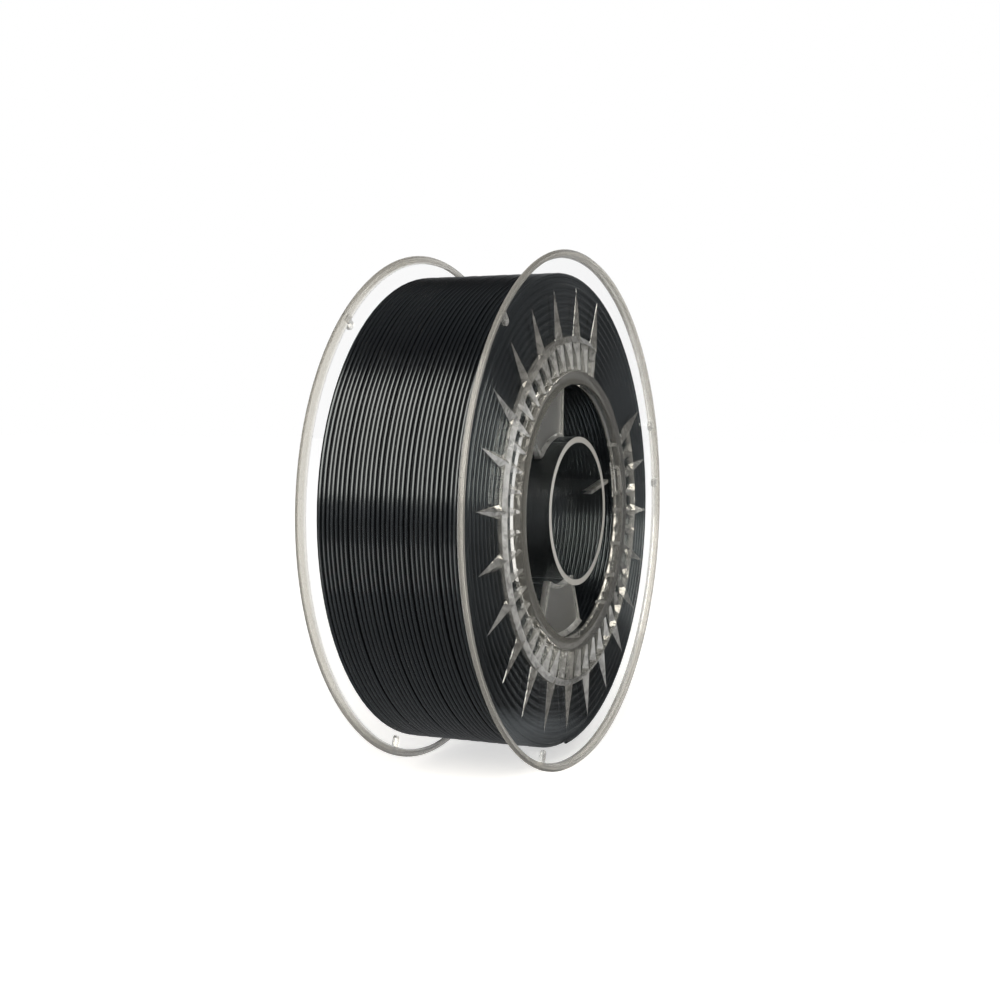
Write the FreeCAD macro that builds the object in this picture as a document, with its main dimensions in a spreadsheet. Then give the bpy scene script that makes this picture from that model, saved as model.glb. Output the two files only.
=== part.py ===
"""Filament spool: two identical clear flanges on a drum and hub, wound with plastic filament.

The spool's axis is Y, the origin is at its middle, and +Z is up. All sizes are in millimetres.
"""
import FreeCAD
import Part
import math
import os
import Sketcher

# Driving dimensions: name, value and what it is.
SIZES = [
    ("flange_rad", 100.0, "outer radius of the flanges"),
    ("inner_face", 29.2, "distance of a flange's inner face from the middle"),
    ("disc_wall", 1.2, "thickness of a flange's disc"),
    ("bead_wide", 3.1, "width of the bead along the rim, across the radius"),
    ("bead_top", 32.4, "distance of the bead's top from the middle"),
    ("bead_mid", 31.2, "distance of the bead's outermost edge from the middle"),
    ("bead_edge", 0.9, "bevel that rounds the bead off"),
    ("eye_rad", 49.2, "radius of the opening in the flange and of the drum's inside"),
    ("lip_rad", 54.5, "outer radius of the smooth lip round the opening"),
    ("lip_top", 33.2, "distance of the lip's top from the middle"),
    ("lip_draft", 0.6, "how far the lip's outer wall leans in over its height"),
    ("ring_low", 65.0, "inner radius of the raised ring"),
    ("ring_high", 67.3, "outer radius of the raised ring"),
    ("ring_top", 33.0, "distance of the ring's inner edge from the middle"),
    ("ring_foot", 31.9, "distance of the ring's outer edge from the middle"),
    ("rib_from", 53.5, "radius where a rib starts in the lip"),
    ("rib_to", 65.6, "radius where a rib ends in the ring"),
    ("rib_thin", 0.9, "rib's width at the lip"),
    ("rib_wide", 5.3, "rib's width at the ring"),
    ("rib_tall", 2.7, "height of a rib's ridge over the disc at the lip"),
    ("rib_fall", 2.8, "angle at which a rib's ridge falls outward"),
    ("rib_roof", 0.74, "how steeply a rib's roof rises to its ridge"),
    ("rib_count", 43, "ribs round one flange"),
    ("spike_from", 65.3, "radius where a spike's ridge rises out of the ring"),
    ("spike_to", 86.5, "radius of a spike's tip"),
    ("spike_fall", 6.6, "angle at which a spike's ridge falls outward"),
    ("spike_wide", 6.0, "spike's width at the ring"),
    ("spike_count", 22, "spikes round one flange"),
    ("relief_arc", 315.0, "arc that carries ribs, spikes and ring; the rest is plain"),
    ("sink", 0.3, "depth by which relief is rooted in the disc"),
    ("graze", 0.05, "how far a cut runs past the wall that it trims"),
    ("peg_tip", 92.4, "radius of a rim peg's rounded tip"),
    ("peg_root", 97.6, "radius where a rim peg is rooted in the bead"),
    ("peg_half", 1.7, "half width of a rim peg"),
    ("peg_round", 0.9, "bevel that rounds a rim peg's tip off"),
    ("peg_tall", 1.4, "height of a rim peg over the disc"),
    ("peg_place", 60.0, "place of the first single rim peg"),
    ("peg_apart", 120.0, "angle between the two single rim pegs"),
    ("pair_place", 292.25, "place of the first peg of the pair"),
    ("pair_apart", 15.5, "angle between the pegs of the pair"),
    ("boss_place", 300.0, "place of the lock's oval boss"),
    ("boss_half", 4.3, "half length of the boss's straight stretch"),
    ("boss_end", 1.9, "radius of the boss's round ends"),
    ("boss_face", 48.0, "distance of the boss's face from the axis"),
    ("boss_deep", 1.6, "thickness of the boss, rooted in the lip"),
    ("boss_slot", 0.7, "radius of the slot in the boss"),
    ("bar_place", 41.5, "place of the first crossbar on the lip's inner wall"),
    ("bar_step", 16.6, "angle from one crossbar place to the next"),
    ("bar_face", 48.5, "distance of a crossbar's face from the axis"),
    ("bar_wide", 1.4, "width of a crossbar"),
    ("drum_rad", 51.0, "outer radius of the drum"),
    ("tongue_in", 47.9, "inner radius of the thick strip in the drum"),
    ("tongue_low", 3.4, "angle where the strip starts"),
    ("tongue_high", 20.7, "angle where the strip ends"),
    ("bore_rad", 26.5, "radius of the hub's bore"),
    ("tube_rad", 28.65, "outer radius of the hub's tube"),
    ("tube_end", 33.4, "distance of the hub's end from the middle"),
    ("fan_face", 25.7, "distance of a fan's outer face from the middle"),
    ("fan_wall", 1.8, "thickness of a fan"),
    ("fan_weld", 0.4, "depth by which fans and webs are rooted in the tube"),
    ("fan_fillet", 1.7, "leg of the bevels where a fan meets tube and drum"),
    ("upper_low", 88.0, "angle of the upper fan's free edge"),
    ("upper_high", 133.0, "angle of the upper fan's webbed edge"),
    ("lower_low", 247.5, "angle of the lower fan's webbed edge"),
    ("lower_high", 293.0, "angle of the lower fan's free edge"),
    ("edge_wide", 1.1, "width of the raised edge on a fan"),
    ("edge_tall", 0.7, "height of the raised edge on a fan"),
    ("web_wall", 1.4, "thickness of a web"),
    ("web_end", 26.5, "distance of a web's end from the middle"),
    ("lock_web", 11.5, "angle of the web that carries the lock"),
    ("lock_end", 27.8, "distance of the lock web's end from the middle"),
    ("strand", 1.75, "diameter of the filament"),
    ("wound_rad", 91.4, "outer radius of the wound filament"),
    ("strand_sides", 4, "sides of the faceted strand"),
    ("turn_count", 4, "turns of the outer layer"),
    ("turn_margin", 0.2, "gap between the last turn and a flange"),
    ("layer_gap", 0.05, "gap between the outer layer and the layers under it"),
]

# Where the flanges sit: the same moulding twice, the front one turned over.
FRONT_START = 72.0
REAR_START = -48.0

SHEET = "Sizes"
doc = FreeCAD.newDocument("filament_spool")
sheet = doc.addObject("Spreadsheet::Sheet", SHEET)
for row, (alias, value, meaning) in enumerate(SIZES, start=1):
    sheet.set(f"A{row}", alias)
    sheet.set(f"B{row}", str(value))
    sheet.set(f"C{row}", meaning)
    sheet.setAlias(f"B{row}", alias)
doc.recompute()


class Size:
    """A number together with the sheet's formula for it."""

    def __init__(self, number, formula=None):
        self.number = float(number)
        self.formula = str(number) if formula is None else formula

    def joined(self, sign, other, number):
        return Size(number, f"({self.formula} {sign} {other.formula})")

    def __add__(self, other):
        other = as_size(other)
        return self.joined("+", other, self.number + other.number)

    def __sub__(self, other):
        other = as_size(other)
        return self.joined("-", other, self.number - other.number)

    def __mul__(self, other):
        other = as_size(other)
        return self.joined("*", other, self.number * other.number)

    def __truediv__(self, other):
        other = as_size(other)
        return self.joined("/", other, self.number / other.number)

    def __neg__(self):
        return Size(-self.number, f"(0 - {self.formula})")


def as_size(value):
    return value if isinstance(value, Size) else Size(value)


def size(alias):
    """The sheet's value of this name, with its formula."""
    return Size(float(sheet.get(alias)), f"{SHEET}.{alias}")


def cosine(angle):
    return Size(math.cos(math.radians(angle.number)), f"cos({angle.formula} * 1 deg)")


def sine(angle):
    return Size(math.sin(math.radians(angle.number)), f"sin({angle.formula} * 1 deg)")


def vector(x, y):
    return FreeCAD.Vector(x.number, y.number, 0)


def new_body(label):
    body = doc.addObject("PartDesign::Body", label)
    body.Label = label
    return body


def origin_part(body, role):
    return next(part for part in body.Origin.OriginFeatures if part.Role == role)


def new_sketch(body, name, role, shift=None, turn=None, turn_axis=FreeCAD.Vector(1, 0, 0)):
    """A sketch on an origin plane, turned about one of its axes and shifted along its normal."""
    sketch = body.newObject("Sketcher::SketchObject", name)
    sketch.AttachmentSupport = [(origin_part(body, role), "")]
    sketch.MapMode = "FlatFace"
    shift = as_size(shift or 0)
    turn = as_size(turn or 0)
    rotation = FreeCAD.Rotation(turn_axis, turn.number)
    normal = FreeCAD.Vector(0, 0, shift.number)
    sketch.AttachmentOffset = FreeCAD.Placement(rotation.multVec(normal), rotation)
    if turn.number == 0:
        sketch.setExpression("AttachmentOffset.Base.z", shift.formula)
    return sketch


def bind(sketch, constraint, amount):
    """Add a dimension and tie it to the sheet."""
    index = sketch.addConstraint(constraint)
    sketch.setExpression(f"Constraints[{index}]", amount.formula)


def pin_point(sketch, edge, end, x, y):
    """Fix one end of an edge at a place worked out from the sheet."""
    for kind, axis, amount in (("DistanceX", -2, x), ("DistanceY", -1, y)):
        if amount.number > 0:
            bind(sketch, Sketcher.Constraint(kind, -1, 1, edge, end, amount.number), amount)
        elif amount.number < 0:
            bind(sketch, Sketcher.Constraint(kind, edge, end, -1, 1, -amount.number), -amount)
        else:
            sketch.addConstraint(Sketcher.Constraint("PointOnObject", edge, end, axis))


def outline(sketch, corners):
    """A closed outline of straight edges."""
    corners = [(as_size(x), as_size(y)) for x, y in corners]
    edges = []
    for (x0, y0), (x1, y1) in zip(corners, corners[1:] + corners[:1]):
        edges.append(sketch.addGeometry(Part.LineSegment(vector(x0, y0), vector(x1, y1)), False))
    for edge, following, (x, y) in zip(edges, edges[1:] + edges[:1], corners):
        sketch.addConstraint(Sketcher.Constraint("Coincident", edge, 2, following, 1))
        pin_point(sketch, edge, 1, x, y)


def sector(sketch, inner, outer, low, high):
    """A closed ring segment between two radii and two angles."""
    arcs = []
    for radius in (inner, outer):
        whole = Part.Circle(FreeCAD.Vector(), FreeCAD.Vector(0, 0, 1), radius.number)
        piece = Part.ArcOfCircle(whole, math.radians(low.number), math.radians(high.number))
        arcs.append(sketch.addGeometry(piece, False))
        for end, angle in ((1, low), (2, high)):
            pin_point(sketch, arcs[-1], end, radius * cosine(angle), radius * sine(angle))
        bind(sketch, Sketcher.Constraint("Radius", arcs[-1], radius.number), radius)
    for end, angle in ((1, low), (2, high)):
        start = vector(inner * cosine(angle), inner * sine(angle))
        finish = vector(outer * cosine(angle), outer * sine(angle))
        side = sketch.addGeometry(Part.LineSegment(start, finish), False)
        sketch.addConstraint(Sketcher.Constraint("Coincident", side, 1, arcs[0], end))
        sketch.addConstraint(Sketcher.Constraint("Coincident", side, 2, arcs[1], end))


def radial_bar(sketch, inner, outer, width, angle):
    """A straight bar that points away from the axis at this angle."""
    half = width / 2
    along = (cosine(angle), sine(angle))
    corners = []
    for reach, side in ((inner, -half), (outer, -half), (outer, half), (inner, half)):
        corners.append((reach * along[0] - side * along[1], reach * along[1] + side * along[0]))
    outline(sketch, corners)


def stadium(sketch, x, half, radius):
    """A slot-shaped outline, its round ends one above the other on the line at x."""
    ends = []
    for sign, low in ((1, 0), (-1, math.pi)):
        middle = FreeCAD.Vector(x.number, sign * half.number, 0)
        whole = Part.Circle(middle, FreeCAD.Vector(0, 0, 1), radius.number)
        ends.append(sketch.addGeometry(Part.ArcOfCircle(whole, low, low + math.pi), False))
        pin_point(sketch, ends[-1], 3, x, half * sign)
        bind(sketch, Sketcher.Constraint("Radius", ends[-1], radius.number), radius)
    for sign, upper, lower in ((1, 1, 2), (-1, 2, 1)):
        top = FreeCAD.Vector(x.number + sign * radius.number, half.number, 0)
        bottom = FreeCAD.Vector(x.number + sign * radius.number, -half.number, 0)
        side = sketch.addGeometry(Part.LineSegment(top, bottom), False)
        sketch.addConstraint(Sketcher.Constraint("Tangent", side, 1, ends[0], upper))
        sketch.addConstraint(Sketcher.Constraint("Tangent", side, 2, ends[1], lower))


def bound(feature, **amounts):
    """Set a feature's sizes and tie them to the sheet."""
    for name, amount in amounts.items():
        amount = as_size(amount)
        setattr(feature, name, type(getattr(feature, name))(amount.number)
                if isinstance(getattr(feature, name), int) else amount.number)
        feature.setExpression(name, amount.formula)
    return feature


def revolve(body, name, sketch, angle=360):
    """Turn a profile about the spool's axis."""
    feature = body.newObject("PartDesign::Revolution", name)
    feature.Profile = sketch
    feature.ReferenceAxis = (sketch, ["V_Axis"])
    bound(feature, Angle=angle)
    return feature


def pad(body, name, sketch, length):
    feature = body.newObject("PartDesign::Pad", name)
    feature.Profile = sketch
    bound(feature, Length=length)
    return feature


def pocket(body, name, sketch, length):
    feature = body.newObject("PartDesign::Pocket", name)
    feature.Profile = sketch
    bound(feature, Length=length)
    return feature


def round_axis(body, name, features, angle, count):
    """Repeat features over an arc about the spool's axis."""
    pattern = body.newObject("PartDesign::PolarPattern", name)
    pattern.Originals = features
    pattern.Axis = (origin_part(body, "Y_Axis"), [""])
    bound(pattern, Angle=angle, Occurrences=count)
    body.Tip = pattern
    return pattern


def relief_foot():
    """How far from the middle the relief is rooted in the disc."""
    return size("inner_face") + size("disc_wall") - size("sink")


def across_ridge(body, name, reach, height, fall):
    """A sketch square across a ridge that falls outward, and how high the ridge is on it."""
    shift = reach * cosine(fall) - height * sine(fall)
    sketch = new_sketch(body, name, "YZ_Plane", shift, -fall, FreeCAD.Vector(0, 1, 0))
    return sketch, reach * sine(fall) + height * cosine(fall)


def add_disc(body):
    """The plain disc with the rounded bead along its rim."""
    inside = size("inner_face")
    outside = inside + size("disc_wall")
    rim = size("flange_rad")
    bead = rim - size("bead_wide")
    round_off = size("bead_edge")
    profile = new_sketch(body, "disc_profile", "XY_Plane")
    outline(profile, [
        (size("eye_rad"), inside),
        (bead, inside),
        (rim, size("bead_mid")),
        (rim - round_off, size("bead_top")),
        (bead + round_off, size("bead_top")),
        (bead, outside),
        (size("eye_rad"), outside),
    ])
    revolve(body, "disc", profile)


def add_ribs(body):
    """The wedge ribs between lip and ring: an upright wedge whose top is cut to a falling ridge."""
    foot = relief_foot()
    fall = size("rib_fall")
    high = foot + size("sink") + size("rib_tall")
    spare = size("sink")
    plan = new_sketch(body, "rib_plan", "XZ_Plane", -(high + spare))
    thin, wide = size("rib_thin") / 2, size("rib_wide") / 2
    outline(plan, [
        (size("rib_from"), -thin),
        (size("rib_to"), -wide),
        (size("rib_to"), wide),
        (size("rib_from"), thin),
    ])
    rib = pad(body, "rib", plan, high + spare - foot)
    run = size("rib_to") - size("rib_from")
    end_high = high - run * sine(fall) / cosine(fall)
    roof, ridge = across_ridge(body, "rib_roof", size("rib_to") + spare, end_high, fall)
    reach = wide + size("graze")
    eave = ridge - reach * size("rib_roof")
    over = ridge + size("rib_tall")
    outline(roof, [(ridge, 0), (eave, reach), (over, reach), (over, -reach), (eave, -reach)])
    cut = pocket(body, "rib_top", roof, run + spare * 3)
    round_axis(body, "ribs", [rib, cut], size("relief_arc"), size("rib_count"))


def add_rings(body):
    """The smooth lip round the opening and the raised ring that ribs and spikes grow from."""
    foot = relief_foot()
    lip = new_sketch(body, "lip_profile", "XY_Plane")
    outline(lip, [
        (size("eye_rad"), foot),
        (size("lip_rad"), foot),
        (size("lip_rad") - size("lip_draft"), size("lip_top")),
        (size("eye_rad"), size("lip_top")),
    ])
    revolve(body, "lip", lip)
    ring = new_sketch(body, "ring_profile", "XY_Plane")
    outline(ring, [
        (size("ring_low"), foot),
        (size("ring_high"), foot),
        (size("ring_high"), size("ring_foot")),
        (size("ring_low"), size("ring_top")),
    ])
    revolve(body, "ring", ring, size("relief_arc"))


def add_spikes(body):
    """The sunburst: ridged prisms that sink into the disc outward, cut flush with its inner face."""
    foot = relief_foot()
    surface = foot + size("sink")
    fall = size("spike_fall")
    run = size("spike_to") - size("spike_from")
    rise = run * sine(fall) / cosine(fall)
    sketch, ridge = across_ridge(body, "spike_section", size("spike_from"), surface + rise, fall)
    deep = rise + size("sink")
    half = size("spike_wide") / 2 * deep / rise
    outline(sketch, [(ridge - deep, -half), (ridge, 0), (ridge - deep, half)])
    spike = pad(body, "spike", sketch, run + size("sink") * 3)
    round_axis(body, "spikes", [spike], size("relief_arc"), size("spike_count"))
    under = new_sketch(body, "under_disc", "XY_Plane")
    inside = size("inner_face")
    low, high = size("ring_high"), size("spike_to") + size("bead_wide")
    outline(under, [(low, inside - deep), (high, inside - deep), (high, inside), (low, inside)])
    flush = body.newObject("PartDesign::Groove", "flush_inside")
    flush.Profile = under
    flush.ReferenceAxis = (under, ["V_Axis"])
    bound(flush, Angle=360)
    body.Tip = flush


def add_rim_pegs(body):
    """The small round-ended pegs on the rim's inner side: two single ones and a pair."""
    top = size("inner_face") + size("disc_wall") + size("peg_tall")
    tip, root, half, bevel = size("peg_tip"), size("peg_root"), size("peg_half"), size("peg_round")
    for name, place, apart in (("peg", "peg_place", "peg_apart"), ("pair", "pair_place", "pair_apart")):
        sketch = new_sketch(body, f"{name}_plan", "XZ_Plane", -top, -size(place), FreeCAD.Vector(0, 0, 1))
        outline(sketch, [
            (tip, -(half - bevel)),
            (tip + bevel, -half),
            (root, -half),
            (root, half),
            (tip + bevel, half),
            (tip, half - bevel),
        ])
        peg = pad(body, name, sketch, size("peg_tall") + size("sink"))
        round_axis(body, f"{name}s", [peg], size(apart), 2)


def add_lock_side(body):
    """What the lip's inner wall carries on the lock's side: the oval boss with its slot, and crossbars."""
    middle = (size("inner_face") + size("lip_top")) / 2
    sketch = new_sketch(body, "boss_plan", "YZ_Plane", size("boss_face"), size("boss_place"))
    stadium(sketch, middle, size("boss_half"), size("boss_end"))
    stadium(sketch, middle, size("boss_half"), size("boss_slot"))
    pad(body, "boss", sketch, size("boss_deep"))
    bars = new_sketch(body, "bar_plan", "XZ_Plane", -size("lip_top"))
    for step in (0, 2, 3, 4, 5):
        angle = size("bar_place") + size("bar_step") * step
        radial_bar(bars, size("bar_face"), size("eye_rad") + size("sink"), size("bar_wide"), angle)
    body.Tip = pad(body, "bars", bars, size("lip_top") - size("inner_face"))


def flange(label, placement):
    """One flange, its outer face towards +Y before it is placed."""
    body = new_body(label)
    add_disc(body)
    add_ribs(body)
    add_rings(body)
    add_spikes(body)
    add_rim_pegs(body)
    add_lock_side(body)
    body.Placement = placement


def drum(label):
    """The barrel between the flanges, with the thick strip that the lock runs along."""
    body = new_body(label)
    profile = new_sketch(body, "barrel_profile", "XY_Plane")
    low, high = size("eye_rad"), size("drum_rad")
    face = size("inner_face")
    outline(profile, [(low, -face), (high, -face), (high, face), (low, face)])
    revolve(body, "barrel", profile)
    plan = new_sketch(body, "strip_plan", "XZ_Plane", -face)
    sector(plan, size("tongue_in"), low + size("sink"), size("tongue_low"), size("tongue_high"))
    body.Tip = pad(body, "strip", plan, face * 2)


def add_fan_bevels(body, name, high, low):
    """Bevels along a fan's foot on the tube and along its outer end, over the fan's arc."""
    face = size("fan_face")
    leg = size("fan_fillet")
    tube = size("tube_rad")
    rim = size("eye_rad")
    root = size("fan_weld")
    profile = new_sketch(body, f"{name}_bevels", "XY_Plane", 0, -high, FreeCAD.Vector(0, 1, 0))
    outline(profile, [(tube - root, -(face - root)), (tube + leg, -face), (tube - root, -(face + leg))])
    outline(profile, [(rim, -(face - root)), (rim, -(face + leg)), (rim - leg, -face)])
    return revolve(body, f"{name}_bevel", profile, high - low)


def add_fans(body):
    """The two fan-shaped plates at each end, with raised edges, and their bevels."""
    inner = size("tube_rad") - size("fan_weld")
    outer = size("eye_rad")
    fans = (("upper", size("upper_low"), size("upper_high")), ("lower", size("lower_low"), size("lower_high")))
    plan = new_sketch(body, "fan_plan", "XZ_Plane", size("fan_face") - size("fan_wall"))
    for name, low, high in fans:
        sector(plan, inner, outer, low, high)
    made = [pad(body, "fan", plan, size("fan_wall"))]
    edge_plan = new_sketch(body, "edge_plan", "XZ_Plane", size("fan_face") - size("sink"))
    radial_bar(edge_plan, inner, outer, size("edge_wide"), size("upper_low"))
    radial_bar(edge_plan, inner, outer, size("edge_wide"), size("lower_high"))
    made.append(pad(body, "edge", edge_plan, size("edge_tall") + size("sink")))
    for name, low, high in fans:
        made.append(add_fan_bevels(body, name, high, low))
    mirror = body.newObject("PartDesign::Mirrored", "far_fans")
    mirror.Originals = made
    mirror.MirrorPlane = (origin_part(body, "XZ_Plane"), [""])
    body.Tip = mirror


def add_webs(body):
    """The three webs that run along the tube: two beside the fans and one to the lock's strip."""
    inner = size("tube_rad") - size("fan_weld")
    webs = (
        ("side", size("web_end"), size("eye_rad"), (size("upper_high"), size("lower_low"))),
        ("lock", size("lock_end"), size("tongue_in"), (size("lock_web"),)),
    )
    for name, reach, outer, angles in webs:
        plan = new_sketch(body, f"{name}_web_plan", "XZ_Plane", -reach)
        for angle in angles:
            radial_bar(plan, inner, outer, size("web_wall"), angle)
        body.Tip = pad(body, f"{name}_web", plan, reach * 2)


def hub(label):
    """The tube that runs on a holder's rod, with the webs and fans that carry the drum."""
    body = new_body(label)
    low, high = size("bore_rad"), size("tube_rad")
    end = size("tube_end")
    profile = new_sketch(body, "tube_profile", "XY_Plane")
    outline(profile, [(low, -end), (high, -end), (high, end), (low, end)])
    revolve(body, "tube", profile)
    add_fans(body)
    add_webs(body)


def inner_layers(label):
    """The filament under the outer layer, as one plain ring between the flanges."""
    width = size("inner_face") * 2
    parts = []
    for name, radius in (("wound", size("wound_rad") - size("strand") - size("layer_gap")), ("barrel_room", size("drum_rad"))):
        cylinder = doc.addObject("Part::Cylinder", name)
        bound(cylinder, Radius=radius, Height=width)
        parts.append(cylinder)
    ring = doc.addObject("Part::Cut", label)
    ring.Base, ring.Tool = parts
    ring.Label = label
    turn = FreeCAD.Rotation(FreeCAD.Vector(1, 0, 0), -90)
    ring.Placement = FreeCAD.Placement(FreeCAD.Vector(0, -size("inner_face").number, 0), turn)


def biarc(start, start_way, end, end_way):
    """Two arcs that leave one point and reach another along given directions."""
    chord = end - start
    ways = start_way + end_way
    spread = 2 * (1 - start_way.dot(end_way))
    across = chord.dot(ways)
    reach = (math.sqrt(across ** 2 + spread * chord.dot(chord)) - across) / spread
    near, far = start + start_way * reach, end - end_way * reach
    joint = (near + far) * 0.5
    arcs = []
    for first, corner, last in ((start, near, joint), (joint, far, end)):
        weight = first.distanceToPoint(last) / (2 * reach)
        middle = (first + corner * (2 * weight) + last) * (1 / (2 + 2 * weight))
        arcs.append(Part.Arc(first, middle, last).toShape())
    return arcs


def helix_point(angle, radius, pitch, start):
    """A place on the winding and the direction of the strand there."""
    place = FreeCAD.Vector(radius * math.cos(angle), start + pitch * angle / math.tau, radius * math.sin(angle))
    way = FreeCAD.Vector(-radius * math.sin(angle), pitch / math.tau, radius * math.cos(angle))
    return place, way.normalize()


def least_gap(places, per_turn, diameter):
    """The least clear gap between the strand and its neighbouring turns, on sampled points."""
    least = min(place.distanceToPoint(other)
                for index, place in enumerate(places)
                for other in places[index + per_turn // 2:index + per_turn * 3 // 2])
    return least - diameter


def outer_layer(label):
    """The winding's outer layer: one strand that runs from flange to flange in even turns."""
    diameter = size("strand").number
    radius = size("wound_rad").number - diameter / 2
    count = int(size("turn_count").number)
    start = -(size("inner_face").number - size("turn_margin").number - diameter / 2)
    pitch = -2 * start / count
    half_turns = [helix_point(math.pi * step, radius, pitch, start) for step in range(2 * count + 1)]
    first, first_way = half_turns[0]
    last, last_way = half_turns[-1]
    edges = [Part.makeLine(first - first_way * diameter, first)]
    for (place, way), (following, next_way) in zip(half_turns, half_turns[1:]):
        edges += biarc(place, way, following, next_way)
    edges.append(Part.makeLine(last, last + last_way * diameter))
    path = Part.Wire(edges)
    sides = int(size("strand_sides").number)
    outward = FreeCAD.Vector(1, 0, 0)
    sideways = first_way.cross(outward)
    corners = [first - first_way * diameter
               + outward * (diameter / 2 * math.cos(math.tau * corner / sides))
               + sideways * (diameter / 2 * math.sin(math.tau * corner / sides))
               for corner in range(sides)]
    section = Part.makePolygon(corners + corners[:1])
    strand = path.makePipeShell([section], True)
    per_turn = 24
    samples = [helix_point(math.tau * step / per_turn, radius, pitch, start)[0]
               for step in range(per_turn * count + 1)]
    print("least gap between turns, mm:", round(least_gap(samples, per_turn, diameter), 3))
    expected = path.Length * Part.Face(section).Area
    print("strand's volume over section times length:", round(strand.Volume / expected, 4))
    feature = doc.addObject("Part::Feature", label)
    feature.Shape = strand
    feature.Label = label
    feature.Placement = FreeCAD.Placement()


def turned_over(start):
    """The place of a flange that faces -Y, its first spike at this angle."""
    half = math.radians(start / 2)
    axis = FreeCAD.Vector(math.cos(half), 0, math.sin(half))
    return FreeCAD.Placement(FreeCAD.Vector(), FreeCAD.Rotation(axis, 180))


def facing_back(start):
    """The place of a flange that faces +Y, its first spike at this angle."""
    return FreeCAD.Placement(FreeCAD.Vector(), FreeCAD.Rotation(FreeCAD.Vector(0, 1, 0), -start))


NODES = ("front_flange", "rear_flange", "drum", "hub", "filament_inner_layers", "filament_outer_layer")
flange(NODES[0], turned_over(FRONT_START))
flange(NODES[1], facing_back(REAR_START))
drum(NODES[2])
hub(NODES[3])
inner_layers(NODES[4])
outer_layer(NODES[5])
doc.recompute()

faults = [item.Name for item in doc.Objects if {"Invalid", "Error"} & set(item.State)]
pieces = {label: doc.getObjectsByLabel(label)[0] for label in NODES}
faults += [label for label, piece in pieces.items() if piece.Shape.isNull() or not piece.Shape.isValid()]
if faults:
    raise SystemExit("failed: " + ", ".join(faults))

os.makedirs("parts", exist_ok=True)
for label, piece in pieces.items():
    piece.Shape.exportStep(f"parts/{label}.step")
    print(label, "solids", len(piece.Shape.Solids), "volume cm3", round(piece.Shape.Volume / 1000, 2))
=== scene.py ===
"""Looks of the filament spool: clear moulded plastic, the wound black filament, and the studio.

Everything is in metres in the spool's own frame: the axis is Y, the photographed flange faces -Y,
and the spool stands on its rims with +Z up.
"""
import math

import bpy
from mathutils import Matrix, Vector


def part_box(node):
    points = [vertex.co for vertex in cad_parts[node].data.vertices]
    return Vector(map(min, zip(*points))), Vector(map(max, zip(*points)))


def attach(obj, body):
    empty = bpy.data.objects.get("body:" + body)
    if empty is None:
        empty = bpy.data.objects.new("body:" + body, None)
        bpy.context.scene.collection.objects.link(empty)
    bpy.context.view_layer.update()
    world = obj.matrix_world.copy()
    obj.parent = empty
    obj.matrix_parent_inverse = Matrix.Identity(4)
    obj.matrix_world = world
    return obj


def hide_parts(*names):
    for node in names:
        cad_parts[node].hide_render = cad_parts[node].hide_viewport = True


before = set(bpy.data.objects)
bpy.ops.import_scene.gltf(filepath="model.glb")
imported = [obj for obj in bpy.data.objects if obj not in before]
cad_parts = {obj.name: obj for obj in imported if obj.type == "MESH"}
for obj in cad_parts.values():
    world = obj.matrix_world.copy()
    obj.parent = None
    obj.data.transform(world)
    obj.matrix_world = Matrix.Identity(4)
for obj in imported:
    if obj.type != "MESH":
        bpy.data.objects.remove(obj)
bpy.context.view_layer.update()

MM = 0.001

# The photograph's camera. The angles are in degrees, the lens and the sensor in millimetres.
VIEW_AZIMUTH = -65.17
VIEW_ELEVATION = 3.29
CAMERA_PLACE = (-562.8 * MM, -260.5 * MM, 39.1 * MM)
LENS = 56.62
SENSOR = 36.0

# The moulded pieces: measures from the model's boxes, or else the sizes that the model was given.
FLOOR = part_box("front_flange")[0].z
DRUM_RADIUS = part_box("drum")[1].x
HALF_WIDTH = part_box("filament_inner_layers")[1].y
DISC_THICKNESS = 1.2 * MM
DISC_FACE = HALF_WIDTH + DISC_THICKNESS
BEAD_RADIUS = 96.9 * MM
EYE_RADIUS = 49.15 * MM
LIP_RADIUS = 54.5 * MM
TUBE_RADIUS = 28.65 * MM
TUBE_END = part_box("hub")[1].y
FAN_FOOT = 23.9 * MM
FAN_FACE = 25.7 * MM

# The wound filament. PITCH gives the number of turns, which then share the room between the
# flanges, and each of WIDE_TURNS takes WIDE_STEP times as much of it. LAYER is the step outward.
STRAND = 1.75 * MM
PITCH = 1.81 * MM
LAYER = 1.52 * MM
WOUND_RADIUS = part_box("filament_outer_layer")[1].x
WIDE_TURNS = {5, 11, 17, 24}
WIDE_STEP = 1.22
SIDE_WAVER = 0.07 * MM
RADIUS_WAVER = 0.06 * MM

# What the ring of inner layers leaves for the humps on its outer and inner side, and at its ends.
ROOM_OUTSIDE = 0.55 * STRAND
ROOM_INSIDE = 0.57 * STRAND
END_GAP = 0.02 * MM

# How finely the winding is divided: round the axis, round the strand, and over a hump.
AROUND = 96
STRAND_SIDES = 12
HUMP_STEPS = 6

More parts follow.
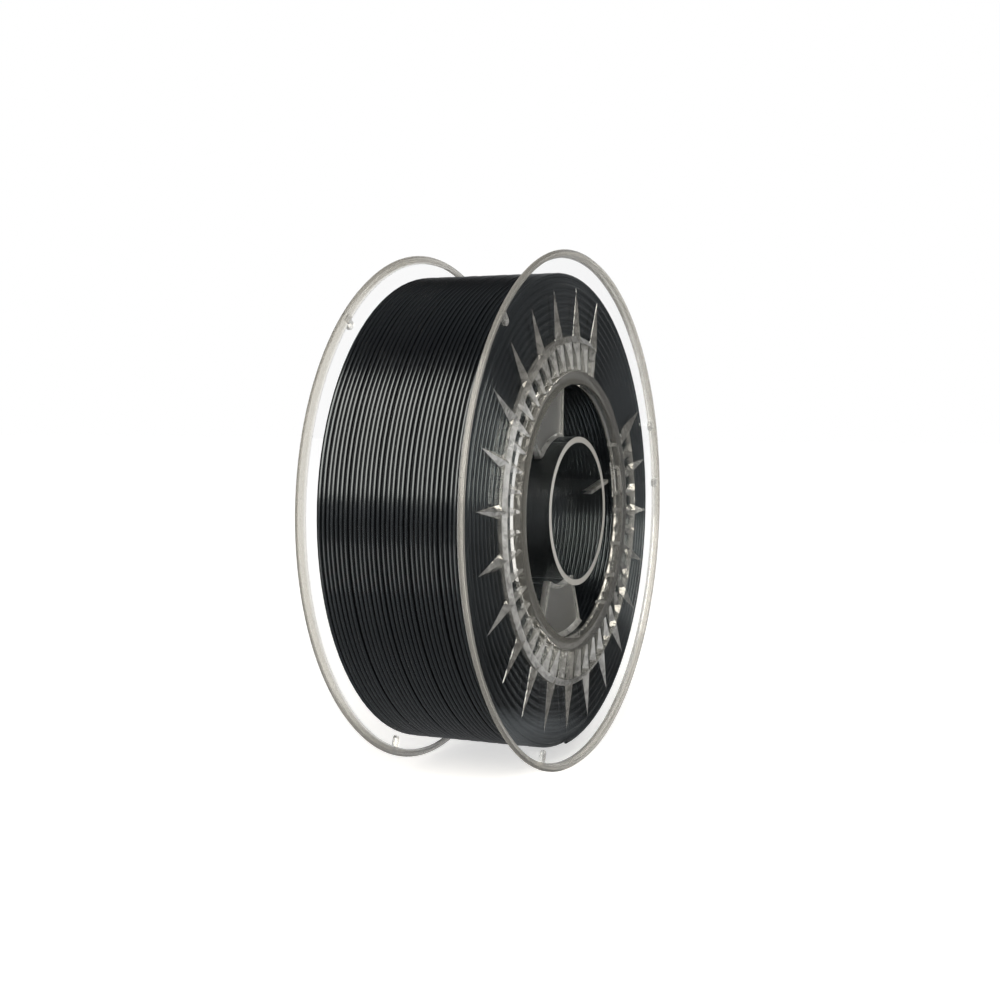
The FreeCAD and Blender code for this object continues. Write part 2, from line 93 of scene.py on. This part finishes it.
# Clear plastic: tints, strengths, roughness, and the heights of its unevenness.
REFLECTION_TINT = (0.9, 0.97, 1, 1)
FACET_TINT = (0.8, 0.8, 0.775, 1)
SHADOW_TINT = (0.93, 0.94, 0.93, 1)
FACET_DULLNESS = 0.2
BOSS_STRENGTH = 1.5
EDGE_MIRROR = 0.4
EDGE_POWER = 5
ROUGHNESS_RANGE = 0.04
HAZE_ROUGHNESS = 0.12
WAVE_HEIGHT = 0.03 * MM
STREAK_HEIGHT = 0.16 * MM
LINE_HEIGHT = 0.2 * MM
LINE_SCALE = 900
FLANGE_PLASTIC = {
    "tint_within": (0.55, 0.545, 0.52, 1),
    "haze": 0.07, "more_haze": 0.2, "facets": 0.54, "veil": 0.015, "blur": 0.01,
}
HUB_PLASTIC = {
    "tint_within": (0.47, 0.47, 0.455, 1),
    "haze": 0.035, "more_haze": 0.7, "facets": 0.42, "veil": 0.035, "blur": 0.3,
}

# Black filament.
FILAMENT_BLACK = (0.0018, 0.0022, 0.003, 1)
GRAIN_HEIGHT = 0.02 * MM

# The white floor: its glow for the camera near the spool and far from it, and for what shines.
FLOOR_REACH = 6.0
FLOOR_NEAR = 0.3
FLOOR_FAR = 1.2
FLOOR_NEAR_GLOW = 0.6
FLOOR_FAR_GLOW = 0.85
FLOOR_GLOSSY_GLOW = 0.1

# The grey room, and the opening in its floor, where the white floor shows like a sheet of paper.
ROOM_REACH = 2.6
ROOM_SEGMENTS = 32
ROOM_RINGS = 8
PAPER_RADIUS = 0.16
PAPER_PLACE = (-0.34, 0.1)
ROOM_GLOW = 0.015
MOST_GLOW = 2.0

# Soft patches on the room's floor: one ahead of the photographed flange, one beside the winding.
# Each is a product of ramps: an axis, two places on it, and the light at each of them.
GROUND_GLOW = 0.42
GROUND_PATCHES = (
    (("X", -0.02, 0.03, 0.0, 1.3), ("Y", -0.07, -0.04, 1.0, 0.0), ("X", 0.06, 0.1, 1.0, 0.0)),
    (("X", -0.22, -0.12, 1.0, 0.36), ("Y", -0.1, 0.0, 0.0, 1.0), ("Y", 0.6, 0.35, 0.0, 1.0)),
)

# Soft patches on the room's walls: the middle's direction, the inner and the outer reach in
# degrees, and the strength.
WALL_PATCHES = (
    ((0.95, 0.1, 0.3), 8, 26, 0.35),
    ((0.906, -0.419, -0.057), 10, 20, 0.13),
    ((0.25, -0.96, 0.05), 10, 26, 0.7),
    ((0.4, -0.5, 0.77), 10, 24, 0.2),
    ((0.0, 0.0, 1.0), 15, 50, 0.035),
    ((-0.9, 0.42, 0.15), 8, 30, 0.35),
)

# The world's light on dull things, and where the key lamp and its veil stand.
WORLD_LIGHT = 0.2
KEY_DIRECTION = (-0.76, -0.35, 0.545)
KEY_DISTANCE = 1.2


def new_material(name, **settings):
    """A material with its main shader's plain settings."""
    material = bpy.data.materials.new(name)
    material.use_nodes = True
    shader = material.node_tree.nodes["Principled BSDF"]
    for socket, value in settings.items():
        shader.inputs[socket.replace("_", " ")].default_value = value
    return material, shader


def add_node(owner, kind, **settings):
    """A node in a material or the world; each setting is an input's value or a property."""
    node = owner.node_tree.nodes.new(kind)
    for name, value in settings.items():
        if name in node.inputs:
            node.inputs[name].default_value = value
        else:
            setattr(node, name, value)
    return node


def stretched_noise(material, scale, stretch=(1, 1, 1), detail=3.0):
    """Noise in the object's own space, its grain longer or shorter along each axis."""
    place = add_node(material, "ShaderNodeTexCoord")
    mapping = add_node(material, "ShaderNodeMapping", Scale=stretch)
    noise = add_node(material, "ShaderNodeTexNoise", Scale=scale, Detail=detail)
    links = material.node_tree.links
    links.new(place.outputs["Object"], mapping.inputs["Vector"])
    links.new(mapping.outputs["Vector"], noise.inputs["Vector"])
    return noise.outputs["Fac"]


def add_bump(material, shader, height, distance, strength=1.0):
    bump = add_node(material, "ShaderNodeBump", Distance=distance, Strength=strength)
    material.node_tree.links.new(height, bump.inputs["Height"])
    material.node_tree.links.new(bump.outputs["Normal"], shader.inputs["Normal"])


def ramp_between(material, value, low, high, start=0.0, end=1.0):
    """A number that runs from start to end while a value runs from low to high."""
    limits = {"From Min": low, "From Max": high, "To Min": start, "To Max": end}
    ramp = add_node(material, "ShaderNodeMapRange", **limits)
    material.node_tree.links.new(value, ramp.inputs["Value"])
    return ramp.outputs["Result"]


def spread(material, noise, start, end):
    """A number that runs from start to end over a noise's middle values, where most of it lies."""
    return ramp_between(material, noise, 0.3, 0.7, start, end)


def from_mask(material, mask, start, end):
    """A number that is start where the mask is 0 and end where it is 1."""
    return ramp_between(material, mask, 0, 1, start, end)


def edge_at(material, value, place, first, last, start=0.0, end=1.0):
    """A ramp near a place in metres: first and last are its ends, in millimetres from there."""
    return ramp_between(material, value, place + first * MM, place + last * MM, start, end)


def arithmetic(owner, operation, *values):
    """Arithmetic on node outputs; a third value and more join in further steps."""
    step = add_node(owner, "ShaderNodeMath", operation=operation)
    for socket, value in zip(step.inputs, values[:2]):
        owner.node_tree.links.new(value, socket)
    result = step.outputs["Value"]
    return arithmetic(owner, operation, result, *values[2:]) if values[2:] else result


def around_axis(material):
    """How far a place is from the middle along the axis, and how far from the axis."""
    place = add_node(material, "ShaderNodeTexCoord")
    parts = add_node(material, "ShaderNodeSeparateXYZ")
    material.node_tree.links.new(place.outputs["Object"], parts.inputs["Vector"])
    x, y, z = (parts.outputs[axis] for axis in "XYZ")
    squares = [arithmetic(material, "MULTIPLY", value, value) for value in (x, z)]
    radius = arithmetic(material, "SQRT", arithmetic(material, "ADD", *squares))
    return arithmetic(material, "ABSOLUTE", y), radius


def drawn_lines(material, outward, radius):
    """Fine lines that run round the axis, as a turned mould leaves them."""
    across = add_node(material, "ShaderNodeCombineXYZ")
    material.node_tree.links.new(radius, across.inputs["X"])
    material.node_tree.links.new(outward, across.inputs["Y"])
    lines = add_node(material, "ShaderNodeTexNoise", Scale=LINE_SCALE, Detail=2.0)
    material.node_tree.links.new(across.outputs["Vector"], lines.inputs["Vector"])
    return lines.outputs["Fac"]


def flange_masks(material, outward, radius):
    """Masks: the lip and the bead, then the bead alone, then the relief and the boss."""
    relief = edge_at(material, outward, DISC_FACE, 0.02, 0.2)
    lip = edge_at(material, radius, LIP_RADIUS, 0.1, 0)
    flange = edge_at(material, outward, HALF_WIDTH, -0.1, -0.05)
    in_eye = edge_at(material, radius, EYE_RADIUS, 0, -0.05, 0.0, BOSS_STRENGTH)
    boss = arithmetic(material, "MULTIPLY", flange, in_eye)
    bead = edge_at(material, radius, BEAD_RADIUS, -0.2, 0.2)
    thick = arithmetic(material, "MAXIMUM", arithmetic(material, "MULTIPLY", lip, flange), bead)
    thick = arithmetic(material, "SUBTRACT", thick, boss)
    facets = arithmetic(material, "MULTIPLY", relief, from_mask(material, thick, 1.0, 0.0))
    return thick, bead, arithmetic(material, "MAXIMUM", boss, facets)


def hub_masks(material, outward, radius):
    """Masks: the end faces and the fans, then the end faces alone, then the webs' ends."""
    end = edge_at(material, outward, TUBE_END, -0.15, -0.05)
    beyond_tube = edge_at(material, radius, TUBE_RADIUS, 0.1, 0.2)
    above_foot = edge_at(material, outward, FAN_FOOT, -0.1, 0)
    below_face = edge_at(material, outward, FAN_FACE, 0.1, 0.2, 1.0, 0.0)
    fans = arithmetic(material, "MULTIPLY", above_foot, below_face, beyond_tube)
    above_face = from_mask(material, below_face, 1.0, 0.0)
    web_ends = arithmetic(material, "MULTIPLY", beyond_tube, above_face)
    return arithmetic(material, "MAXIMUM", end, fans), end, web_ends


def tint_where(material, mask, tint):
    """A mix that shows its colour A, and this tint where the mask is 1."""
    mix = add_node(material, "ShaderNodeMix", data_type="RGBA")
    mix.inputs["B"].default_value = tint
    material.node_tree.links.new(mask, mix.inputs["Factor"])
    return mix


def clear_in_shadow(material, shader):
    """Let light through the plastic, a little tinted, where it would cast a shadow."""
    links = material.node_tree.links
    rays = add_node(material, "ShaderNodeLightPath")
    through = add_node(material, "ShaderNodeBsdfTransparent", Color=SHADOW_TINT)
    mix = add_node(material, "ShaderNodeMixShader")
    links.new(rays.outputs["Is Shadow Ray"], mix.inputs["Fac"])
    links.new(shader.outputs["BSDF"], mix.inputs[1])
    links.new(through.outputs["BSDF"], mix.inputs[2])
    output = material.node_tree.nodes["Material Output"]
    links.new(mix.outputs["Shader"], output.inputs["Surface"])


def clear_plastic(name, masks, tint_within, haze, more_haze, facets, veil, blur):
    """Clear moulded polystyrene: a thin wall only adds its reflection, and a thick place refracts.

    A facet of the relief throws part of the light back from inside, as a prism does, in streaks.
    The veil is the least share of light that a thin wall reflects, and the blur its roughness.
    """
    material, shader = new_material(name, IOR=1.5)
    links = material.node_tree.links
    outward, radius = around_axis(material)
    thick, hazier, cut = masks(material, outward, radius)
    streaks = stretched_noise(material, scale=380, stretch=(1, 0.5, 1), detail=2.0)

    tint = tint_where(material, thick, tint_within)
    tint.inputs["A"].default_value = REFLECTION_TINT
    cut_tint = tint_where(material, cut, FACET_TINT)
    links.new(tint.outputs["Result"], cut_tint.inputs["A"])
    links.new(cut_tint.outputs["Result"], shader.inputs["Base Color"])

    metal = arithmetic(
        material, "SUBTRACT", from_mask(material, thick, 1.0, 0.0),
        from_mask(material, cut, 0.0, FACET_DULLNESS))
    links.new(metal, shader.inputs["Metallic"])
    clear = arithmetic(
        material, "SUBTRACT", from_mask(material, thick, 1.0, 1 - haze),
        from_mask(material, hazier, 0.0, more_haze))
    clear = arithmetic(material, "MULTIPLY", clear, from_mask(material, cut, 1.0, 0.0))
    links.new(clear, shader.inputs["Transmission Weight"])

    facing = add_node(material, "ShaderNodeLayerWeight", Blend=0.5)
    steep = add_node(material, "ShaderNodeMath", operation="POWER")
    steep.inputs[1].default_value = EDGE_POWER
    links.new(facing.outputs["Facing"], steep.inputs[0])
    mirror = from_mask(material, steep.outputs["Value"], veil, EDGE_MIRROR)
    streaked = ramp_between(material, streaks, 0.38, 0.62, 0.7 * facets, 1.3 * facets)
    shown = arithmetic(material, "MULTIPLY", cut, streaked)
    solid = arithmetic(material, "MAXIMUM", thick, shown)
    links.new(arithmetic(material, "MAXIMUM", mirror, solid), shader.inputs["Alpha"])

    waves = stretched_noise(material, scale=160)
    flow = arithmetic(material, "MULTIPLY", streaks, cut)
    lines = arithmetic(material, "MULTIPLY", drawn_lines(material, outward, radius), hazier)
    height = arithmetic(
        material, "ADD", from_mask(material, waves, 0.0, WAVE_HEIGHT),
        from_mask(material, flow, 0.0, STREAK_HEIGHT), from_mask(material, lines, 0.0, LINE_HEIGHT))
    add_bump(material, shader, height, distance=1.0)

    cloud = stretched_noise(material, scale=900)
    rough = arithmetic(
        material, "ADD", spread(material, cloud, blur, blur + ROUGHNESS_RANGE),
        from_mask(material, hazier, 0.0, HAZE_ROUGHNESS))
    links.new(rough, shader.inputs["Roughness"])
    clear_in_shadow(material, shader)
    return material


def black_filament(name, gloss, tint):
    """Glossy black filament: a fine drawn surface, and a slightly different gloss turn by turn."""
    material, shader = new_material(
        name, Base_Color=FILAMENT_BLACK, IOR=1.55, Specular_IOR_Level=gloss, Specular_Tint=tint)
    turns = stretched_noise(material, scale=1, stretch=(4, 420, 4), detail=1.0)
    material.node_tree.links.new(spread(material, turns, 0.12, 0.19), shader.inputs["Roughness"])
    grain = stretched_noise(material, scale=700)
    add_bump(material, shader, grain, distance=GRAIN_HEIGHT, strength=0.1)
    return material


def mesh_object(name, points, faces, material, smooth=True):
    mesh = bpy.data.meshes.new(name)
    mesh.from_pydata(points, [], faces)
    mesh.polygons.foreach_set("use_smooth", [smooth] * len(mesh.polygons))
    mesh.materials.append(material)
    mesh.validate()
    piece = bpy.data.objects.new(name, mesh)
    bpy.context.scene.collection.objects.link(piece)
    return piece


def turn_pitches():
    """Each turn's step along the axis: even, but for a few places where the winding left a gap."""
    room = 2 * HALF_WIDTH - STRAND
    count = int(room / PITCH)
    steps = [WIDE_STEP if turn in WIDE_TURNS else 1.0 for turn in range(count)]
    return [room * step / sum(steps) for step in steps]


def strand_place(steps, at):
    """The strand's centre after this many turns from the bottom, with a winding machine's waver.

    The sines' rates aren't whole numbers, so that neighbouring turns waver differently.
    """
    whole = min(int(at), len(steps) - 1)
    edge = HALF_WIDTH - STRAND / 2
    y = -edge + sum(steps[:whole]) + steps[whole] * (at - whole)
    angle = math.tau * (at - 0.25)
    y += SIDE_WAVER * math.sin(3.1 * angle) * math.sin(0.37 * angle + 1.3)
    sag = RADIUS_WAVER * (1 + math.sin(1.7 * angle + 0.6 * math.sin(0.23 * angle)))
    radius = WOUND_RADIUS - STRAND / 2 - sag
    return Vector((radius * math.cos(angle), max(-edge, min(edge, y)), radius * math.sin(angle)))


def outer_strand(material):
    """The outer layer: one strand wound from flange to flange, turn beside turn."""
    steps = turn_pitches()
    count = AROUND * len(steps)
    points, faces = [], []
    for index in range(count + 1):
        centre = strand_place(steps, index / AROUND)
        outward = Vector((centre.x, 0, centre.z)).normalized()
        for side in range(STRAND_SIDES):
            angle = math.tau * side / STRAND_SIDES
            across = outward * math.cos(angle) + Vector((0, math.sin(angle), 0))
            points.append(centre + STRAND / 2 * across)
    for index in range(count):
        here, there = index * STRAND_SIDES, (index + 1) * STRAND_SIDES
        for side in range(STRAND_SIDES):
            following = (side + 1) % STRAND_SIDES
            faces.append((here + side, here + following, there + following, there + side))
    last = count * STRAND_SIDES
    faces.append(tuple(range(STRAND_SIDES)))
    faces.append(tuple(reversed(range(last, last + STRAND_SIDES))))
    return mesh_object("wound_outer_layer", points, faces, material)


def row_of_strands(start, end, count, bulge, sink=0.0):
    """Points along a row of strands side by side: round humps that bulge to one side.

    With a sink, every second strand lies that much deeper between its neighbours.
    """
    run = (end - start) / count
    for strand in range(count):
        sunk = strand % 2 == 1 and sink > 0
        middle = start + run * (strand + 0.5) - bulge * (sink if sunk else 0)
        radius = STRAND / 2 if sink else run.length / 2
        first = math.acos((run.length - radius) / radius) if sunk else 0.0
        last_step = HUMP_STEPS - 1 if sink else HUMP_STEPS
        for step in range(HUMP_STEPS):
            angle = first + (math.pi - 2 * first) * step / last_step
            back = run.normalized() * radius * math.cos(angle)
            yield middle - back + bulge * radius * math.sin(angle)


def inner_wound(material):
    """The layers underneath as one ring, whose faces show the strands side by side."""
    outer = WOUND_RADIUS - LAYER - ROOM_OUTSIDE
    inner = DRUM_RADIUS + ROOM_INSIDE
    half = HALF_WIDTH - STRAND / 2 - END_GAP
    across = len(turn_pitches())
    layers = round((outer - inner) / LAYER)
    near_in, near_out = Vector((inner, -half)), Vector((outer, -half))
    far_out, far_in = Vector((outer, half)), Vector((inner, half))
    rows = (
        (near_in, near_out, layers, Vector((0, -1)), STRAND / 2),
        (near_out, far_out, across, Vector((1, 0))),
        (far_out, far_in, layers, Vector((0, 1)), STRAND / 2),
        (far_in, near_in, across, Vector((-1, 0))),
    )
    profile = [point for row in rows for point in row_of_strands(*row)]
    points, faces = [], []
    for index in range(AROUND):
        angle = math.tau * index / AROUND
        for radius, y in profile:
            points.append((radius * math.cos(angle), y, radius * math.sin(angle)))
    size = len(profile)
    for index in range(AROUND):
        here, following = index * size, (index + 1) % AROUND * size
        for corner in range(size):
            beside = (corner + 1) % size
            faces.append((here + corner, following + corner, following + beside, here + beside))
    return mesh_object("wound_inner_layers", points, faces, material)


def shade_world():
    """Plain pale light all round; the camera, and what shines or is clear, see plain white."""
    world = bpy.data.worlds.new("studio")
    bpy.context.scene.world = world
    world.use_nodes = True
    world.cycles.sampling_method = "NONE"
    nodes, links = world.node_tree.nodes, world.node_tree.links
    light = nodes["Background"]
    light.inputs["Color"].default_value = (1, 1, 1, 1)
    light.inputs["Strength"].default_value = WORLD_LIGHT
    white = add_node(world, "ShaderNodeBackground", Color=(1, 1, 1, 1), Strength=1.0)
    rays = add_node(world, "ShaderNodeLightPath")
    shown = arithmetic(
        world, "MAXIMUM", rays.outputs["Is Camera Ray"], rays.outputs["Is Transmission Ray"],
        rays.outputs["Is Glossy Ray"])
    mix = add_node(world, "ShaderNodeMixShader")
    links.new(shown, mix.inputs["Fac"])
    links.new(light.outputs["Background"], mix.inputs[1])
    links.new(white.outputs["Background"], mix.inputs[2])
    links.new(mix.outputs["Shader"], nodes["World Output"].inputs["Surface"])


def floor_material():
    """White floor: it keeps the spool's shadow, and the camera sees the rest of it as white."""
    material, shader = new_material(
        "floor_white", Base_Color=(0.9, 0.9, 0.9, 1), Specular_IOR_Level=0.0)
    links = material.node_tree.links
    grain = stretched_noise(material, scale=30)
    links.new(spread(material, grain, 0.86, 0.92), shader.inputs["Roughness"])
    rays = add_node(material, "ShaderNodeLightPath")
    seen = arithmetic(
        material, "MAXIMUM", rays.outputs["Is Camera Ray"], rays.outputs["Is Transmission Ray"])
    place = add_node(material, "ShaderNodeTexCoord")
    away = add_node(material, "ShaderNodeVectorMath", operation="LENGTH")
    links.new(place.outputs["Object"], away.inputs[0])
    plain_glow = ramp_between(
        material, away.outputs["Value"], FLOOR_NEAR, FLOOR_FAR, FLOOR_NEAR_GLOW, FLOOR_FAR_GLOW)
    glossy_glow = from_mask(material, rays.outputs["Is Glossy Ray"], 0.0, FLOOR_GLOSSY_GLOW)
    lift = arithmetic(
        material, "MAXIMUM", arithmetic(material, "MULTIPLY", seen, plain_glow), glossy_glow)
    glow = add_node(material, "ShaderNodeEmission")
    links.new(lift, glow.inputs["Strength"])
    both = add_node(material, "ShaderNodeAddShader")
    links.new(shader.outputs["BSDF"], both.inputs[0])
    links.new(glow.outputs["Emission"], both.inputs[1])
    links.new(both.outputs["Shader"], material.node_tree.nodes["Material Output"].inputs["Surface"])
    return material


def wall_glow(material, direction, toward, near, far, strength):
    """One of the soft patches on the room's walls."""
    along = add_node(material, "ShaderNodeVectorMath", operation="DOT_PRODUCT")
    material.node_tree.links.new(direction, along.inputs[0])
    along.inputs[1].default_value = Vector(toward).normalized()
    edge, full = math.cos(math.radians(far)), math.cos(math.radians(near))
    return ramp_between(material, along.outputs["Value"], edge, full, 0.0, strength)


def ground_glow(material, parts):
    """The soft patches on the room's floor, from a place's parts along X, Y and Z."""
    on_floor = edge_at(material, parts.outputs["Z"], FLOOR, 2, 4, GROUND_GLOW, 0.0)
    patches = []
    for patch in GROUND_PATCHES:
        ramps = [ramp_between(material, parts.outputs[axis], *limits) for axis, *limits in patch]
        patches.append(arithmetic(material, "MULTIPLY", *ramps))
    return arithmetic(material, "MULTIPLY", on_floor, arithmetic(material, "MAXIMUM", *patches))


def room_material():
    """Dim grey, with soft patches of light on the walls and on the floor."""
    material, shader = new_material(
        "grey_room", Base_Color=(0.02, 0.02, 0.021, 1), Roughness=0.9,
        Emission_Color=(0.97, 0.98, 1, 1))
    links = material.node_tree.links
    place = add_node(material, "ShaderNodeTexCoord")
    unit = add_node(material, "ShaderNodeVectorMath", operation="NORMALIZE")
    links.new(place.outputs["Object"], unit.inputs[0])
    parts = add_node(material, "ShaderNodeSeparateXYZ")
    links.new(place.outputs["Object"], parts.inputs["Vector"])
    walls = [wall_glow(material, unit.outputs["Vector"], *patch) for patch in WALL_PATCHES]
    light = arithmetic(material, "MAXIMUM", *walls, ground_glow(material, parts))
    folds = stretched_noise(material, scale=2.5)
    light = arithmetic(material, "MULTIPLY", light, spread(material, folds, 0.7, 1.3))
    glow = ramp_between(material, light, 0, MOST_GLOW, ROOM_GLOW, MOST_GLOW)
    links.new(glow, shader.inputs["Emission Strength"])
    return material


def make_grey_room():
    """The studio's dim walls, ceiling and outer floor, with the opening beside the winding.

    Only reflections see them, so that black stays deep and the relief's facets differ.
    """
    low = FLOOR + MM
    profile = [(PAPER_RADIUS, *PAPER_PLACE, low)]
    for ring in range(ROOM_RINGS + 1):
        rise = math.pi / 2 * ring / ROOM_RINGS
        profile.append((ROOM_REACH * math.cos(rise), 0, 0, low + ROOM_REACH * math.sin(rise)))
    points, faces = [], []
    for out, x, y, z in profile:
        for index in range(ROOM_SEGMENTS):
            angle = math.tau * index / ROOM_SEGMENTS
            points.append((x + out * math.cos(angle), y + out * math.sin(angle), z))
    for ring in range(len(profile) - 1):
        first = ring * ROOM_SEGMENTS
        for index in range(ROOM_SEGMENTS):
            here, beside = first + index, first + (index + 1) % ROOM_SEGMENTS
            faces.append((here, here + ROOM_SEGMENTS, beside + ROOM_SEGMENTS, beside))
    only_reflections_see(mesh_object("grey_room", points, faces, room_material()))


def only_reflections_see(piece):
    piece.visible_camera = False
    piece.visible_diffuse = False
    piece.visible_transmission = False
    piece.visible_shadow = False


def make_floor():
    signs = ((-1, -1), (1, -1), (1, 1), (-1, 1))
    corners = [(x * FLOOR_REACH, y * FLOOR_REACH, FLOOR) for x, y in signs]
    floor = mesh_object("floor", corners, [(0, 1, 2, 3)], floor_material(), smooth=False)


def add_lamp(name, direction, distance, width, height, power, colour):
    """A soft box that shines at the spool's middle."""
    lamp = bpy.data.lights.new(name, "AREA")
    lamp.shape = "RECTANGLE"
    lamp.size = width
    lamp.size_y = height
    lamp.energy = power
    lamp.color = colour
    place = bpy.data.objects.new(name, lamp)
    way = Vector(direction).normalized()
    place.location = way * distance
    place.rotation_euler = way.to_track_quat("Z", "Y").to_euler()
    place.visible_camera = False
    place.visible_transmission = False
    bpy.context.scene.collection.objects.link(place)


def make_studio():
    """The ground and the lights; key_veil softens the edges of key_softbox's highlight."""
    shade_world()
    make_floor()
    make_grey_room()
    add_lamp(
        "key_softbox", KEY_DIRECTION, KEY_DISTANCE, width=1.4, height=1.2, power=24.5,
        colour=(1.0, 0.94, 0.85))
    add_lamp(
        "key_veil", KEY_DIRECTION, KEY_DISTANCE, width=1.7, height=1.75, power=3.6,
        colour=(1.0, 0.98, 0.96))
    add_lamp(
        "top_softbox", (0.1, 0.1, 1.0), distance=1.4, width=1.1, height=1.1, power=0.15,
        colour=(0.8, 0.92, 1.0))


def make_camera():
    azimuth, elevation = math.radians(VIEW_AZIMUTH), math.radians(VIEW_ELEVATION)
    level = math.cos(elevation)
    back = Vector((math.sin(azimuth) * level, -math.cos(azimuth) * level, math.sin(elevation)))
    camera = bpy.data.objects.new("camera", bpy.data.cameras.new("camera"))
    camera.location = CAMERA_PLACE
    camera.rotation_euler = back.to_track_quat("Z", "Y").to_euler()
    camera.data.lens = LENS
    camera.data.sensor_width = SENSOR
    bpy.context.scene.collection.objects.link(camera)
    bpy.context.scene.camera = camera


def finish_spool():
    """Give the moulded pieces their plastic, and put the real winding in place of the plain one."""
    plain = clear_plastic("clear_plastic", flange_masks, **FLANGE_PLASTIC)
    hub = clear_plastic("clear_hub", hub_masks, **HUB_PLASTIC)
    for node in ("front_flange", "rear_flange", "drum", "hub"):
        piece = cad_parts[node]
        piece.data.materials.clear()
        piece.data.materials.append(hub if node == "hub" else plain)
    outer = outer_strand(black_filament("black_filament", gloss=1.0, tint=(0.87, 0.955, 1, 1)))
    # The layers underneath are the same filament as the outer strand, given weaker and bluer
    # reflections: a painted shade that keeps the bore's inside dark and bluish.
    inner = inner_wound(
        black_filament("black_filament_inside_painted_shade", gloss=0.62, tint=(0.82, 0.95, 1, 1)))
    for piece, node in ((outer, "filament_outer_layer"), (inner, "filament_inner_layers")):
        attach(piece, "root")
        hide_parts(node)


make_camera()
make_studio()
finish_spool()
bpy.context.scene.view_settings.view_transform = "Standard"
